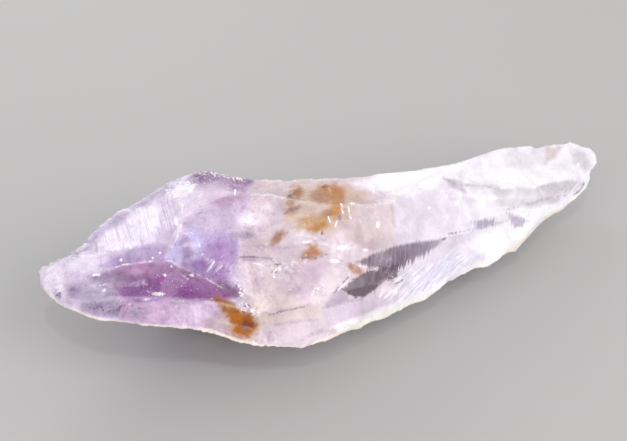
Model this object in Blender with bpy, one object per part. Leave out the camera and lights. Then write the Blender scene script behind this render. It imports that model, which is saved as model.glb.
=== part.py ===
# A rough amethyst crystal: one long, pointed splinter of quartz with broken faces, lying on its
# belly with both tips clear of the surface. It grew and broke as one piece, so it is one solid.
#
# The crystal is drawn as ridges. A ridge is the line where two broken faces meet, and it runs from
# the left tip to the right one. A skin is laid between neighbouring ridges, shallow scars are cut
# where flakes came off, and the belly is cut flat where the crystal rests.

import math
import random

import bmesh
import bpy
from mathutils import Vector, noise

# Driving sizes. Ridge points and sizes are in millimetres, and MM turns them into metres.
MM = 0.001
LEFT_END, RIGHT_END = -25.5, 25.4
SEED = 7

# Cross-sections: how far apart they are, and the extra ones just inside each tip. Beyond the last
# one, a blunt nose closes the tip. The faces get smoother over the last stretch before a tip.
STATION_STEP = 0.75
TIP_STATIONS = (0.25, 1.1)
NOSE_REACH = 0.35
TIP_FADE = 5.0

# A face narrower than this is dished or lifted less, in proportion to its width.
FULL_WIDTH = 3.0

# Uneven broken faces: how far the middle of a face and a ridge wander, and over what distance. The
# three directions of a wander come from places in the noise that are this far apart.
FACE_WANDER, FACE_WANDER_LENGTH = 0.55, 3.6
RIDGE_WANDER, RIDGE_WANDER_LENGTH = 0.06, 1.3
WANDER_APART = 17.3

# Flat facets: how far apart they are on a face, how deep each one is shaved, how far it reaches,
# and how much it leans from the face.
FACET_GAP = (1.8, 3.4)
FACET_DEPTH = (0.02, 0.16)
FACET_REACH = (2.0, 3.6)
FACET_LEAN = 0.08

# Flake scars: shallow dishes where chips came off a ridge. A scar is the mark of a ball stretched
# along the crystal, so it has a radius, a depth and a stretch.
SCAR_SUBDIVISIONS = 3
SCAR_GAP = (2.4, 4.4)
SCAR_RADIUS = (4.0, 9.0)
SCAR_DEPTH = (0.12, 0.30)
SCAR_STRETCH = (0.7, 1.3)
SCAR_LEAN = 0.6
SCAR_END_MARGIN = 4.0

# Faces that meet at more than this angle are shaded with a sharp edge between them.
SHARP_ANGLE = math.radians(24)

# The look: a pale lilac glass.
PALE_LILAC = (0.78, 0.68, 0.86, 1)
GLASS_ROUGHNESS = 0.18
QUARTZ_IOR = 1.544
CLEAR_SHARE = 0.6

# The block below the resting surface that cuts the belly flat: its length, width and thickness.
FLOOR_BLOCK = (80.0, 60.0, 4.0)

# Each ridge is a list of points (x along the crystal, y across it, z above the surface).
# The first five are the ridges on top, from the near edge to the far one. The next four are the
# ridges underneath, from the far side back to the near one.
FRONT_EDGE = [
    (-25.9, -1.6, 7.3), (-25.1, -3.2, 7.2), (-24.2, -4.4, 7.1), (-22.5, -5.9, 7.0), (-19.2, -8.0, 6.8),
    (-15.8, -9.5, 6.5), (-12.8, -11.0, 5.3), (-9.8, -11.9, 4.4), (-6.5, -12.3, 3.8), (-2.7, -11.4, 3.5),
    (1.5, -9.9, 3.4), (5.5, -9.1, 3.1), (9.8, -7.8, 2.7), (11.4, -7.8, 2.6), (13.4, -6.8, 2.6),
    (15.9, -5.7, 2.8), (18.4, -4.4, 3.2), (20.2, -4.1, 3.5), (22.0, -3.5, 3.7), (23.4, -2.9, 3.8),
    (24.3, -1.6, 3.9), (25.8, -0.5, 4.0),
]
LOWER_RIDGE = [
    (-25.9, -0.9, 7.5), (-23.9, -3.8, 7.8), (-20.5, -5.4, 8.2), (-16.4, -7.3, 8.2), (-12.4, -8.9, 7.4),
    (-8.6, -11.1, 5.9), (-6.1, -11.4, 5.6), (-2.6, -11.2, 5.0), (1.6, -9.8, 4.9), (9.4, -7.2, 4.2),
    (14.8, -6.0, 4.0), (21.7, -3.1, 4.3), (24.2, -1.0, 4.2), (25.8, -0.1, 4.1),
]
MAIN_RIDGE = [
    (-25.9, -0.1, 7.6), (-24.5, -1.9, 8.2), (-19.8, -3.1, 9.4), (-16.0, -4.4, 9.7), (-13.4, -7.1, 8.7),
    (-9.6, -9.5, 7.5), (-4.9, -10.5, 6.4), (-1.7, -10.2, 6.1), (2.1, -8.7, 6.2), (7.0, -7.0, 5.9),
    (13.0, -5.7, 5.2), (19.7, -3.8, 4.8), (24.2, -0.8, 4.4), (25.8, 0.0, 4.2),
]
LEDGE = [
    (-25.9, 0.1, 7.7), (-22.8, 0.2, 9.0), (-19.9, -1.9, 10.1), (-15.1, -3.1, 11.4), (-12.8, -2.6, 12.0),
    (-8.5, -1.4, 12.2), (-3.5, -4.8, 11.8), (2.2, -5.6, 10.8), (7.8, -3.4, 9.4), (13.5, -3.8, 7.5),
    (19.7, -3.0, 5.8), (24.2, -0.5, 4.8), (25.8, 0.1, 4.4),
]
BACK_CREST = [
    (-25.9, 0.8, 7.5), (-25.2, 1.4, 7.6), (-23.5, 1.4, 8.0), (-21.3, 1.8, 8.6), (-18.3, 2.9, 9.4),
    (-15.0, 3.5, 10.3), (-12.6, 3.8, 11.0), (-10.8, 3.4, 11.4), (-8.9, 1.9, 11.5), (-7.5, 0.9, 11.4),
    (-5.6, 0.4, 11.1), (-1.6, -0.6, 10.8), (1.7, -1.4, 10.5), (5.3, -1.7, 10.0), (9.1, -1.7, 9.5),
    (12.3, -1.0, 8.8), (15.7, 0.0, 8.0), (18.6, 0.7, 7.0), (22.0, 1.1, 5.9), (24.4, 1.3, 5.2),
    (25.3, 0.9, 4.7), (25.8, 0.4, 4.5),
]
BACK_RIDGE = [
    (-25.9, 0.4, 7.0), (-22.0, 1.5, 6.6), (-18.0, 3.4, 6.4), (-12.0, 4.6, 5.2), (-8.0, 3.2, 5.0),
    (-3.0, 1.4, 4.4), (3.0, 0.3, 4.0), (8.0, 0.0, 4.0), (15.0, 1.5, 3.9), (22.0, 1.9, 4.2),
    (24.2, 1.3, 4.3), (25.8, 0.3, 4.2),
]
REST_BACK = [
    (-25.9, 0.0, 6.5), (-22.0, 0.2, 5.0), (-18.0, 0.8, 3.2), (-15.0, 1.3, 1.6), (-12.0, 1.6, -0.1),
    (-8.0, 1.2, -0.5), (-3.0, 0.0, -0.5), (8.0, -1.2, -0.5), (12.0, -1.0, -0.1), (15.0, -0.3, 0.8),
    (18.0, 0.4, 1.7), (24.2, 0.6, 3.4), (25.8, 0.2, 3.9),
]
REST_FRONT = [
    (-25.9, -0.6, 6.4), (-22.0, -2.2, 4.7), (-18.0, -2.6, 2.8), (-15.0, -3.0, 1.2), (-12.0, -4.0, -0.1),
    (-8.0, -5.9, -0.5), (-3.0, -6.1, -0.5), (3.0, -4.6, -0.5), (8.0, -3.7, -0.5), (12.0, -3.6, -0.1),
    (15.0, -2.6, 0.7), (18.0, -1.5, 1.4), (22.0, -0.8, 2.4), (24.2, -0.2, 3.1), (25.8, 0.0, 3.8),
]
UNDER_RIDGE = [
    (-25.9, -1.0, 6.8), (-22.0, -4.2, 5.8), (-18.0, -6.0, 5.0), (-14.0, -7.2, 4.2), (-10.0, -9.0, 2.9),
    (-6.0, -9.6, 2.1), (-2.0, -9.0, 1.9), (3.0, -7.4, 1.8), (13.0, -5.2, 1.6), (18.0, -2.9, 2.3),
    (22.0, -2.2, 3.0), (24.2, -0.7, 3.5), (25.8, -0.1, 3.9),
]

# The faces in order round the crystal: the ridge each one starts at, how many strips it has up to
# the next ridge, and how deep it is dished. A negative dish is a face that bulges.
FACES = [
    ("front bevel", FRONT_EDGE, 2, 0.05),
    ("purple face", LOWER_RIDGE, 3, 0.45),
    ("broad face", MAIN_RIDGE, 6, -0.25),
    ("top band", LEDGE, 4, 0.20),
    ("back face", BACK_CREST, 5, 0.15),
    ("back foot", BACK_RIDGE, 3, -0.35),
    ("belly", REST_BACK, 3, 0.0),
    ("under face", REST_FRONT, 3, 0.20),
    ("under bevel", UNDER_RIDGE, 2, 0.10),
]

# Ridges that cross a face from one side to the other: the place along the crystal, the height, and
# how far the face slopes down to the left and to the right of it.
CROSS_RIDGES = {
    "top band": [(-13.6, 0.55, 7.0, 1.8), (-2.8, 0.30, 3.0, 6.0), (9.5, 0.35, 2.0, 7.0)],
    "broad face": [
        (-13.6, 0.60, 4.0, 2.5), (-3.0, 0.55, 6.0, 3.0), (5.2, 0.50, 5.0, 2.0), (13.5, 0.40, 6.0, 5.0),
    ],
    "back face": [
        (-17.0, 0.70, 5.0, 2.5), (-8.0, 0.80, 3.0, 7.0), (3.5, 0.80, 3.0, 6.0), (13.0, 0.60, 6.0, 4.0),
    ],
    "back foot": [(-12.0, 0.50, 3.0, 6.0), (-1.0, 0.50, 5.0, 3.0), (8.5, 0.50, 3.0, 6.0)],
    "under face": [
        (-13.0, 0.40, 5.0, 3.0), (-4.5, 0.40, 2.5, 4.0), (4.0, 0.35, 4.0, 3.0), (13.5, 0.35, 3.0, 5.0),
    ],
}

# The ridges that chips came off. They are all on the back and the underside.
CHIPPED_RIDGES = [BACK_RIDGE, REST_BACK, REST_FRONT]


def clear_scene():
    for old in list(bpy.data.objects):
        bpy.data.objects.remove(old)


def ridge_at(ridge, x):
    """The (y, z) of a ridge where the crystal's length is x, on a smooth curve through its points."""
    last = len(ridge) - 2
    i = next((k for k in range(last) if x < ridge[k + 1][0]), last)
    before, start = Vector(ridge[max(i - 1, 0)]), Vector(ridge[i])
    end, after = Vector(ridge[i + 1]), Vector(ridge[min(i + 2, last + 1)])
    t = (x - start.x) / (end.x - start.x)
    span = end.x - start.x
    slope_start = (end - before) / (end.x - before.x) * span
    slope_end = (after - start) / (after.x - start.x) * span
    point = (
        start * (1 + 2 * t) * (1 - t) ** 2
        + slope_start * t * (1 - t) ** 2
        + end * t * t * (3 - 2 * t)
        + slope_end * t * t * (t - 1)
    )
    return point.yz


def stations():
    """Places along the length for cross-sections, closer together at the two tips."""
    count = round((RIGHT_END - LEFT_END) / STATION_STEP)
    even = [LEFT_END + (RIGHT_END - LEFT_END) * i / count for i in range(count + 1)]
    at_tips = [x for step in TIP_STATIONS for x in (LEFT_END + step, RIGHT_END - step)]
    return sorted(even + at_tips)


def middle_at(x):
    """The middle of the cross-section at x, as (y, z)."""
    return sum((ridge_at(ridge, x) for _, ridge, _, _ in FACES), Vector((0, 0))) / len(FACES)


def cross_height(face, x):
    """How far the ridges across a face lift its middle at x."""
    lift = 0.0
    for place, height, left, right in CROSS_RIDGES.get(face, []):
        reach = left if x < place else right
        lift = max(lift, height * (1 - abs(x - place) / reach))
    return lift


def cross_section(x):
    """The closed outline of the crystal at x: points (x, y, z) round it, face by face."""
    corners = [ridge_at(ridge, x) for _, ridge, _, _ in FACES]
    middle = middle_at(x)
    outline = []
    for k, (face, _, strips, dish) in enumerate(FACES):
        start, end = corners[k], corners[(k + 1) % len(corners)]
        inward = (middle - (start + end) / 2).normalized()
        fullness = min(1.0, (end - start).length / FULL_WIDTH)
        for j in range(strips):
            t = j / strips
            dished = math.sin(math.pi * t) * dish
            lifted = (1 - abs(2 * t - 1)) * cross_height(face, x)
            y, z = start.lerp(end, t) + inward * (dished - lifted) * fullness
            outline.append(Vector((x, y, z)))
    return outline


def ring_openness():
    """For each point of a ring, 0 on a ridge and up to 1 in the middle of a face."""
    return [math.sin(math.pi * j / strips) for _, _, strips, _ in FACES for j in range(strips)]


def wander(point, length, kind):
    """A smooth offset of up to about 1 each way, which depends only on the point and the kind."""
    place = point / length + Vector((SEED, kind * WANDER_APART, 0))
    return Vector(noise.noise(place + Vector((0, 0, WANDER_APART * i))) for i in range(3))


def skin_points():
    """The skin as rings of points, one ring for each station, with uneven faces."""
    rings = [cross_section(x) for x in stations()]
    for ring in rings:
        x = ring[0].x
        fade = min(1.0, (x - LEFT_END) / TIP_FADE, (RIGHT_END - x) / TIP_FADE)
        for point, openness in zip(ring, ring_openness()):
            slow = wander(point, FACE_WANDER_LENGTH, 1) * FACE_WANDER * openness * fade
            fine = wander(point, RIDGE_WANDER_LENGTH, 2) * RIDGE_WANDER
            point += slow + fine
    return rings


def shave_facets(rings):
    """Planes off patches of each face, so that its bulges become flat facets with crisp edges."""
    chance = random.Random(SEED)
    before = [[point.copy() for point in ring] for ring in rings]
    first = 0
    for _, _, strips, _ in FACES:
        inside = [ring[first + j] for ring in rings for j in range(1, strips)]
        x = LEFT_END + TIP_FADE / 2
        while x < RIGHT_END - TIP_FADE / 2:
            i = min(range(1, len(rings) - 1), key=lambda k: abs(rings[k][0].x - x))
            j = first + chance.randrange(1, strips)
            along = before[i + 1][j] - before[i - 1][j]
            across = before[i][(j + 1) % len(before[i])] - before[i][j - 1]
            lean = Vector(chance.uniform(-FACET_LEAN, FACET_LEAN) for _ in range(3))
            normal = (along.cross(across).normalized() + lean).normalized()
            seat = before[i][j] - normal * chance.uniform(*FACET_DEPTH)
            reach = chance.uniform(*FACET_REACH)
            for point in inside:
                height = (point - seat).dot(normal)
                if height > 0 and (point - seat).length < reach:
                    point -= normal * height
            x += chance.uniform(*FACET_GAP)
        first += strips


def crystal_skin(name):
    """A closed skin through every cross-section, with a blunt nose at each tip."""
    mesh = bmesh.new()
    points = skin_points()
    shave_facets(points)
    rings = [[mesh.verts.new(p) for p in ring] for ring in points]
    for ring, following in zip(rings, rings[1:]):
        for k in range(len(ring)):
            after = (k + 1) % len(ring)
            mesh.faces.new((ring[k], ring[after], following[after], following[k]))
    for ring, reach in ((rings[0], -NOSE_REACH), (rings[-1], NOSE_REACH)):
        middle = sum((v.co for v in ring), Vector()) / len(ring)
        nose = mesh.verts.new(middle + Vector((reach, 0, 0)))
        for k in range(len(ring)):
            mesh.faces.new((ring[k], ring[(k + 1) % len(ring)], nose))
    bmesh.ops.triangulate(mesh, faces=mesh.faces[:])
    bmesh.ops.recalc_face_normals(mesh, faces=mesh.faces[:])
    bmesh.ops.scale(mesh, vec=(MM, MM, MM), verts=mesh.verts[:])
    data = bpy.data.meshes.new(name)
    mesh.to_mesh(data)
    mesh.free()
    obj = bpy.data.objects.new(name, data)
    bpy.context.scene.collection.objects.link(obj)
    return obj


def add_cutter(mesh_maker, collection, **sizes):
    """A helper body that a Boolean takes away. It isn't part of the crystal."""
    mesh = bmesh.new()
    mesh_maker(mesh, **sizes)
    data = bpy.data.meshes.new("cutter")
    mesh.to_mesh(data)
    mesh.free()
    cutter = bpy.data.objects.new("cutter", data)
    cutter.hide_render = True
    cutter.display_type = "WIRE"
    collection.objects.link(cutter)
    return cutter


def add_scar(collection, ridge, x, radius, depth, lean, stretch):
    """A ball set outside a ridge, so that only a shallow dish of it reaches into the crystal."""
    corner = ridge_at(ridge, x)
    outward = (corner - middle_at(x)).normalized()
    sideways = Vector((-outward.y, outward.x))
    away = (outward - sideways * lean).normalized()
    y, z = corner + away * (radius - depth)
    ball = add_cutter(
        bmesh.ops.create_icosphere, collection, subdivisions=SCAR_SUBDIVISIONS, radius=radius * MM
    )
    ball.location = Vector((x, y, z)) * MM
    ball.scale.x = stretch


def scar_balls(collection):
    """Scars along the chipped ridges, spread by seeded chance."""
    chance = random.Random(SEED)
    for ridge in CHIPPED_RIDGES:
        x = LEFT_END + SCAR_END_MARGIN
        while x < RIGHT_END - SCAR_END_MARGIN:
            radius, depth = chance.uniform(*SCAR_RADIUS), chance.uniform(*SCAR_DEPTH)
            lean, stretch = chance.uniform(-SCAR_LEAN, SCAR_LEAN), chance.uniform(*SCAR_STRETCH)
            add_scar(collection, ridge, x, radius, depth, lean, stretch)
            x += chance.uniform(*SCAR_GAP)


def floor_block(collection):
    """A block whose top is the surface that the crystal lies on."""
    block = add_cutter(bmesh.ops.create_cube, collection, size=1)
    block.scale = Vector(FLOOR_BLOCK) * MM
    block.location.z = -block.scale.z / 2


def cut_away(obj, name, fill):
    """Cuts a collection of cutters out of the object, then clears the cutters away."""
    collection = bpy.data.collections.new(name)
    bpy.context.scene.collection.children.link(collection)
    fill(collection)
    cut = obj.modifiers.new(name, "BOOLEAN")
    cut.operation = "DIFFERENCE"
    cut.solver = "EXACT"
    cut.operand_type = "COLLECTION"
    cut.collection = collection
    graph = bpy.context.evaluated_depsgraph_get()
    obj.data = bpy.data.meshes.new_from_object(obj.evaluated_get(graph))
    obj.modifiers.remove(cut)
    for cutter in list(collection.objects):
        bpy.data.objects.remove(cutter)
    bpy.data.collections.remove(collection)


def amethyst_material():
    material = bpy.data.materials.new("amethyst")
    material.use_nodes = True
    surface = material.node_tree.nodes["Principled BSDF"]
    surface.inputs["Base Color"].default_value = PALE_LILAC
    surface.inputs["Roughness"].default_value = GLASS_ROUGHNESS
    surface.inputs["Metallic"].default_value = 0.0
    surface.inputs["IOR"].default_value = QUARTZ_IOR
    surface.inputs["Transmission Weight"].default_value = CLEAR_SHARE
    return material


def stand_on_origin(obj):
    """Moves the mesh so that the origin is below the middle of its box, on the surface."""
    corners = [v.co for v in obj.data.vertices]
    low = Vector(min(c[i] for c in corners) for i in range(3))
    high = Vector(max(c[i] for c in corners) for i in range(3))
    shift = Vector((-(low.x + high.x) / 2, -(low.y + high.y) / 2, -low.z))
    for vertex in obj.data.vertices:
        vertex.co += shift
    return shift / MM


def build():
    clear_scene()
    crystal = crystal_skin("amethyst_crystal")
    cut_away(crystal, "flake_scars", scar_balls)
    cut_away(crystal, "rest_facet", floor_block)
    shift = stand_on_origin(crystal)
    crystal.data.name = "amethyst_crystal"
    crystal.data.materials.clear()
    crystal.data.materials.append(amethyst_material())
    crystal.data.shade_smooth()
    crystal.data.set_sharp_from_angle(angle=SHARP_ANGLE)
    print("moved to the origin by", [round(c, 3) for c in shift], "mm")


build()
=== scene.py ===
# %% [markdown]
# # A rough amethyst crystal
#
# This lesson dresses one long splinter of broken amethyst. The solid model already has its form:
# long ridges, a dished purple face, a ledge and a flat belly. What is missing is everything that
# makes it look like quartz: chipped facets, silky break lines, cloudy and clear places, colour that
# sits in the stone, and rusty iron stains. We start by loading the solid as a fixed frame.

# %% Load the solid model
import math

import bmesh
import bpy
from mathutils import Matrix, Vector


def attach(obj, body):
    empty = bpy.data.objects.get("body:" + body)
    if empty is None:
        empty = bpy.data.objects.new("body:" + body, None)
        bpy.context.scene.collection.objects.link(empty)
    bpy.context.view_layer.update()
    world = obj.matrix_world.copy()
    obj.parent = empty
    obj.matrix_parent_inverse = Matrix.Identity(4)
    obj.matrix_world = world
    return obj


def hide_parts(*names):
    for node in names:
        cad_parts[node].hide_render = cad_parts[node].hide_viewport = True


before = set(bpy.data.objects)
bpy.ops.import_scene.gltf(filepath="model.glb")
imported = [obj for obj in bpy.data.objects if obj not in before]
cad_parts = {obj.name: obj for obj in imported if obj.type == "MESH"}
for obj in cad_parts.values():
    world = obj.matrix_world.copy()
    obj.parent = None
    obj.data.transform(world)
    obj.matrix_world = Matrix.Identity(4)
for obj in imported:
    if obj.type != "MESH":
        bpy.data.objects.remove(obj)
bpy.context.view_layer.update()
MM = 0.001

# %% [markdown]
# ## Writing node trees as sums
#
# A crystal's look is mostly arithmetic on noise. Node by node that is long to write and hard to
# read, so one small class wraps a node's output and lets us write `1 - mask` or `a * b + c`. Every
# other node comes from its `add` method: the kind of node, its settings, and what goes into its
# sockets. Shader trees and geometry trees share their maths nodes, so the class serves both.


# %% A wire that can be added, multiplied and faded
class Wire:
    """An output in a node tree. Sums written with it add the nodes that work them out."""

    def __init__(self, tree, socket=None):
        self.tree = tree
        self.socket = socket

    def add(self, kind, settings=None, sockets=None, output=0):
        node = self.tree.nodes.new(kind)
        for name, value in (settings or {}).items():
            setattr(node, name, value)
        for key, value in (sockets or {}).items():
            if isinstance(value, Wire):
                self.tree.links.new(value.socket, node.inputs[key])
            else:
                node.inputs[key].default_value = value
        return Wire(self.tree, node.outputs[output] if node.outputs else None)

    def sum(self, operation, *values):
        return self.add("ShaderNodeMath", {"operation": operation}, dict(enumerate(values)))

    def vector(self, operation, other=(0, 0, 0), output=0):
        return self.add("ShaderNodeVectorMath", {"operation": operation}, {0: self, 1: other}, output)

    def __add__(self, other):
        return self.sum("ADD", self, other)

    def __sub__(self, other):
        return self.sum("SUBTRACT", self, other)

    def __rsub__(self, other):
        return self.sum("SUBTRACT", other, self)

    def __mul__(self, other):
        return self.sum("MULTIPLY", self, other)

    def __truediv__(self, other):
        return self.sum("DIVIDE", self, other)

    def __pow__(self, other):
        return self.sum("POWER", self, other)

    __radd__ = __add__
    __rmul__ = __mul__

    def fade(self, low, high, start=0.0, end=1.0):
        """Start where the value is low, end where it is high, and smooth between."""
        sockets = {"Value": self, "From Min": low, "From Max": high, "To Min": start, "To Max": end}
        return self.add("ShaderNodeMapRange", {"interpolation_type": "SMOOTHSTEP"}, sockets)

    def mix(self, first, second):
        """The first colour where this wire is 0, and the second where it is 1."""
        return self.add("ShaderNodeMix", {"data_type": "RGBA"}, {0: self, 6: first, 7: second}, 2)


# %% [markdown]
# ## Patterns and masks
#
# Every pattern is noise or a distance, worked out from where a point is. `blob` is a soft ellipsoid,
# `streak` and `path` are soft lines, and `pane` is an outline with straight sides, as most zones in
# a crystal have. `silk` is noise stretched into fine parallel lines, which is how quartz looks where
# it broke in small steps. `dishes` are shallow hollows that meet at ridges, as shell-like breaks do.


# %% Noise, blobs, streaks, panes and silk
def noise(place, size, detail=2.0, roughness=0.5, output=0):
    """Noise with features of about this size. Output 0 is a value near 0.5, output 1 a colour."""
    sockets = {"Vector": place, "Scale": 1 / size, "Detail": detail, "Roughness": roughness}
    return place.add("ShaderNodeTexNoise", None, sockets, output)


def shaken(spot, place, amount, size):
    """The spot pushed about by noise that is read at the place, so that outlines come out ragged."""
    push = noise(place, size, 2.0, output=1).vector("SUBTRACT", (0.5, 0.5, 0.5))
    return spot.vector("ADD", push.vector("MULTIPLY", (2 * amount, 2 * amount, 2 * amount)))


def turned(spot, degrees):
    """The spot in axes that are turned that far about the third axis."""
    sockets = {"Vector": spot, "Angle": math.radians(-degrees)}
    return spot.add("ShaderNodeVectorRotate", {"rotation_type": "Z_AXIS"}, sockets)


def blob(spot, centre, radii, turn=0.0, soft=0.5):
    """1 inside an ellipsoid and 0 outside."""
    offset = turned(spot.vector("SUBTRACT", centre), turn)
    return offset.vector("DIVIDE", radii).vector("LENGTH", output=1).fade(1 + soft, 1 - soft)


def line_distance(spot, start, end):
    """How far the spot is from a straight line."""
    axis = Vector(end) - Vector(start)
    offset = spot.vector("SUBTRACT", start)
    along = offset.vector("DOT_PRODUCT", axis / axis.length_squared, output=1)
    along = along.add("ShaderNodeClamp", None, {0: along})
    foot = along.add("ShaderNodeVectorMath", {"operation": "SCALE"}, {0: axis, 3: along})
    return offset.vector("SUBTRACT", foot).vector("LENGTH", output=1)


def split(vector):
    """A vector's three numbers."""
    return [vector.add("ShaderNodeSeparateXYZ", None, {0: vector}, axis) for axis in range(3)]


def largest(*wires):
    """The largest of several values."""
    result = wires[0]
    for wire in wires[1:]:
        result = result.sum("MAXIMUM", result, wire)
    return result


def smallest(*wires):
    """The smallest of several values."""
    result = wires[0]
    for wire in wires[1:]:
        result = result.sum("MINIMUM", result, wire)
    return result


def path_distance(spot, points):
    """How far the spot is from a line through several points of the front view."""
    corners = [(x, y, 0) for x, y in points]
    return smallest(*(line_distance(spot, start, end) for start, end in zip(corners, corners[1:])))


def flat(spot):
    """The spot with 1 in place of its depth, so that one dot product tells how far it is past a line."""
    return spot.vector("MULTIPLY", (1, 1, 0)).vector("ADD", (0, 0, 1))


def inside(spot, corners):
    """How far a flat spot is inside an outline of the front view. It is below zero outside."""
    middle = sum((Vector(corner) for corner in corners), Vector((0, 0))) / len(corners)
    sides = []
    for start, end in zip(corners, corners[1:] + corners[:1]):
        run = Vector(end) - Vector(start)
        inward = Vector((-run.y, run.x)).normalized()
        if inward.dot(middle - Vector(start)) < 0:
            inward.negate()
        side = (inward.x, inward.y, -inward.dot(Vector(start)))
        sides.append(spot.vector("DOT_PRODUCT", side, output=1))
    return smallest(*sides)


def pane(spot, corners, soft):
    """1 for a flat spot inside an outline of the front view and 0 outside, with an edge this soft."""
    return inside(spot, corners).fade(-soft / 2, soft / 2)


def silk(spot, turn, across, along, detail=2.0):
    """Fine parallel lines, at right angles to the turned first axis."""
    squeezed = turned(spot, turn).vector("DIVIDE", (across, along, along))
    return noise(squeezed, 1.0, detail)


def dishes(place, size):
    """0 in the middle of each dish, rising to 1 on the ridges between them."""
    ragged = shaken(place, place, 0.35 * size, size)
    cells = place.add("ShaderNodeTexVoronoi", None, {"Vector": ragged, "Scale": 1 / size})
    return smallest((cells ** 2.0) * 2.2, 1.0 + 0.0 * cells)


def patches(place, turn, sizes):
    """A chance value from 0 to 1 for each of many straight-edged patches."""
    squeezed = turned(shaken(place, place, 0.3, 1.5), turn).vector("DIVIDE", sizes)
    cells = squeezed.add("ShaderNodeTexVoronoi", None, {"Vector": squeezed, "Scale": 1.0}, 1)
    return cells.vector("DOT_PRODUCT", (1, 0, 0), output=1)


# %% [markdown]
# ## The camera
#
# The photograph looks down at the stone from the front, a little from the left, through a long
# lens. The camera is placed by an azimuth and an elevation round a target on the stone.

# %% Camera
CAMERA_TARGET = Vector((-1.435, 4.817, 5.0)) * MM
CAMERA_AZIMUTH = math.radians(-23.01)
CAMERA_ELEVATION = math.radians(40)
CAMERA_DISTANCE = 156 * MM
CAMERA_LENS = 105


def aim(obj, target):
    """Turns a camera or a light so that it looks at the target."""
    obj.rotation_euler = (target - obj.location).to_track_quat("-Z", "Y").to_euler()


def add_camera():
    data = bpy.data.cameras.new("camera")
    data.lens = CAMERA_LENS
    data.clip_start = 10 * MM
    data.clip_end = 10
    camera = bpy.data.objects.new("camera", data)
    bpy.context.scene.collection.objects.link(camera)
    level = math.cos(CAMERA_ELEVATION)
    back = Vector((
        math.sin(CAMERA_AZIMUTH) * level,
        -math.cos(CAMERA_AZIMUTH) * level,
        math.sin(CAMERA_ELEVATION),
    ))
    camera.location = CAMERA_TARGET + back * CAMERA_DISTANCE
    aim(camera, CAMERA_TARGET)
    bpy.context.scene.camera = camera
    return camera


camera = add_camera()
print("camera at", [round(c / MM) for c in camera.location], "mm")

# %% [markdown]
# ## The front view as a drawing board
#
# The marks on this stone were measured in the front view, so that is where they are drawn. Each point
# of the mesh gets three numbers: how many pixels right and down it shows in the front view, and how
# deep it lies behind the first skin there. They are worked out once, from the camera's fixed place,
# and stay on the points, so the marks hold to the stone from every side. Colour zones go right through
# the stone, as they do in amethyst, and stains and cracks stay on the skin.

# %% Front view
IMAGE_SIZE = (627, 441)
SENSOR_WIDTH = 36
PIXELS_PER_SLOPE = CAMERA_LENS / SENSOR_WIDTH * IMAGE_SIZE[0]
PIXELS_PER_MM = PIXELS_PER_SLOPE * MM / CAMERA_DISTANCE


def front_view(mesh, place):
    """Where each point shows in the front view, and how deep it lies there, all in pixels."""
    eye = camera.location / MM
    ray = place.vector("SUBTRACT", eye)
    settings = {"rotation_type": "EULER_XYZ", "invert": True}
    seen = ray.add("ShaderNodeVectorRotate", settings, {0: ray, 4: camera.rotation_euler[:]})
    right, up, back = split(seen)
    source = place.add("ShaderNodeCombineXYZ", None, dict(enumerate(camera.location)))
    first = mesh.add("GeometryNodeRaycast", None, {0: mesh, 2: source, 3: ray, 4: 1.0}, 3)
    return place.add("ShaderNodeCombineXYZ", None, {
        "X": right / back * -PIXELS_PER_SLOPE + IMAGE_SIZE[0] / 2,
        "Y": up / back * PIXELS_PER_SLOPE + IMAGE_SIZE[1] / 2,
        "Z": (ray.vector("LENGTH", output=1) - first / MM) * PIXELS_PER_MM,
    })


print("one mm on the stone is about", round(PIXELS_PER_MM, 1), "pixels")

# %% [markdown]
# ## The crystal's blank
#
# The solid model has large flat triangles, which is right for a solid but too coarse for chips and
# silk. We copy its mesh, weld the loose triangles, and remesh the copy into small even quads. A
# light smoothing then rounds the straight cuts to edges with a little wear, as on the real stone.

# %% Blank
VOXEL = 0.155 * MM
SMOOTH_STEPS = 2


def stone_blank():
    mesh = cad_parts["amethyst_crystal"].data.copy()
    welded = bmesh.new()
    welded.from_mesh(mesh)
    bmesh.ops.remove_doubles(welded, verts=welded.verts[:], dist=0.001 * MM)
    welded.to_mesh(mesh)
    welded.free()
    mesh.materials.clear()
    mesh.name = "crystal_stone"
    stone = bpy.data.objects.new("crystal_stone", mesh)
    bpy.context.scene.collection.objects.link(stone)
    remesh = stone.modifiers.new("even quads", "REMESH")
    remesh.mode = "VOXEL"
    remesh.voxel_size = VOXEL
    smooth = stone.modifiers.new("worn edges", "SMOOTH")
    smooth.factor = 0.5
    smooth.iterations = SMOOTH_STEPS
    return stone


def bake_modifiers(obj):
    """Replaces the object's mesh by what its modifiers make of it, and removes them."""
    graph = bpy.context.evaluated_depsgraph_get()
    mesh = bpy.data.meshes.new_from_object(obj.evaluated_get(graph))
    obj.modifiers.clear()
    obj.data = mesh
    return sum(len(face.vertices) - 2 for face in mesh.polygons)


stone = stone_blank()
print("blank:", bake_modifiers(stone), "triangles")

# %% [markdown]
# ## Geometry Nodes trees
#
# A geometry tree needs an interface: a geometry going in and out, and named inputs for its sizes.
# This helper makes one and hands back wires for the inputs. The values are set on the modifier by
# each socket's identifier, before the object is evaluated for the first time.


# %% Making and running a geometry tree
def geometry_tree(name, inputs):
    """A geometry tree with these named inputs. Returns the tree and the wires that they come in by."""
    tree = bpy.data.node_groups.new(name, "GeometryNodeTree")
    tree.interface.new_socket("Geometry", in_out="INPUT", socket_type="NodeSocketGeometry")
    tree.interface.new_socket("Geometry", in_out="OUTPUT", socket_type="NodeSocketGeometry")
    for label, kind in inputs.items():
        tree.interface.new_socket(label, in_out="INPUT", socket_type="NodeSocket" + kind)
    entry = tree.nodes.new("NodeGroupInput")
    return tree, {socket.name: Wire(tree, socket) for socket in entry.outputs if socket.name}


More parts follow.
